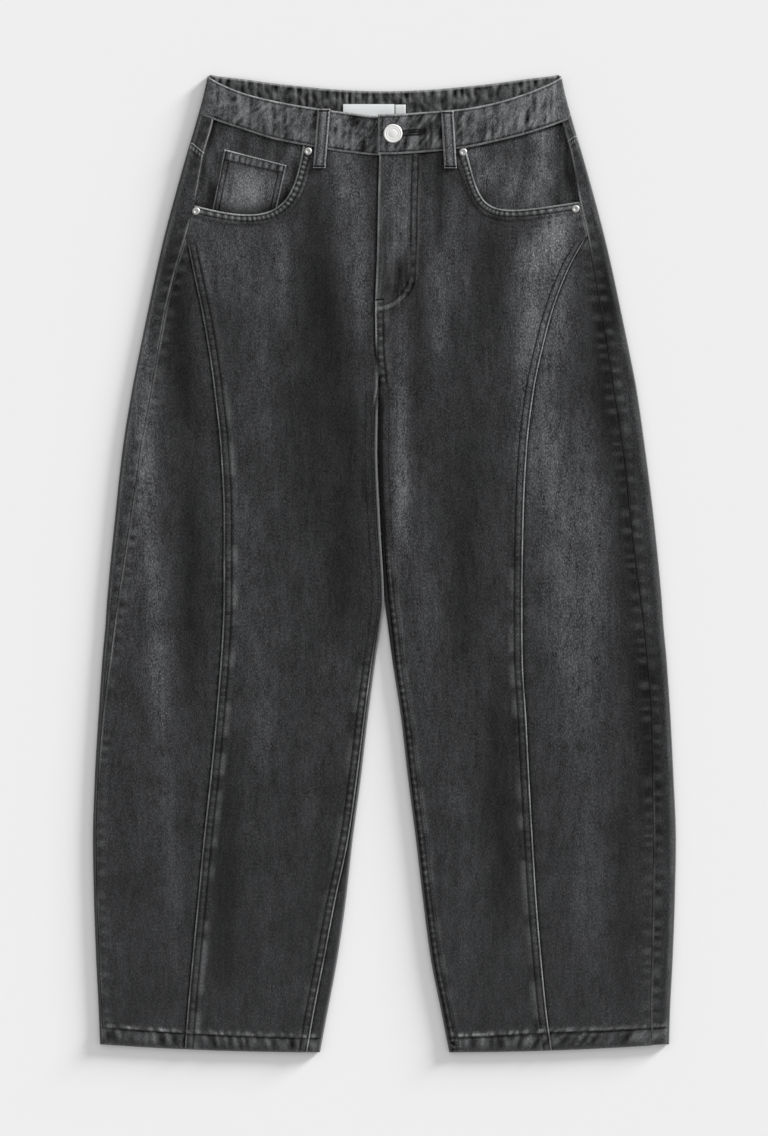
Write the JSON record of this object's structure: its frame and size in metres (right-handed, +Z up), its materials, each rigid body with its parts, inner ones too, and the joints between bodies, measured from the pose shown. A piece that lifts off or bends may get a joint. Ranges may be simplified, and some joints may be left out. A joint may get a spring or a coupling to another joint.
{
  "type": "barrel-leg jeans laid flat",
  "caption": "Washed charcoal denim jeans with curved barrel legs, panelled fronts and a buttoned fly, laid flat on their back.",
  "frame": {"origin": "under the middle of the outline, on the surface that the jeans lie on", "axes": "+Z up from the surface, out of the front of the jeans; +Y towards the waist; +X towards the wearer's left"},
  "size_m": [0.583, 0.9767, 0.0127],
  "materials": {
    "washed_denim": "washed charcoal denim, matt",
    "nickel": "matt nickel",
    "label_satin": "white woven satin, blank",
    "zip_tape": "black cotton tape"
  },
  "bodies": {
    "root": {"front_panel_right": "washed_denim", "front_panel_left": "washed_denim", "side_panel_right": "washed_denim", "side_panel_left": "washed_denim", "back_panel_right": "washed_denim", "back_panel_left": "washed_denim", "yoke_right": "washed_denim", "yoke_left": "washed_denim", "waistband": "washed_denim", "pocket_facing_right": "washed_denim", "pocket_facing_left": "washed_denim", "coin_pocket": "washed_denim", "back_pocket_right": "washed_denim", "back_pocket_left": "washed_denim", "belt_loop_front_right": "washed_denim", "belt_loop_front_left": "washed_denim", "belt_loop_back_right": "washed_denim", "belt_loop_back_centre": "washed_denim", "belt_loop_back_left": "washed_denim", "zip": "zip_tape", "button": "nickel", "rivet_right_upper": "nickel", "rivet_right_lower": "nickel", "rivet_left_upper": "nickel", "rivet_left_lower": "nickel", "waist_label": "label_satin", "size_tab": "label_satin"}
  },
  "joints": []
}
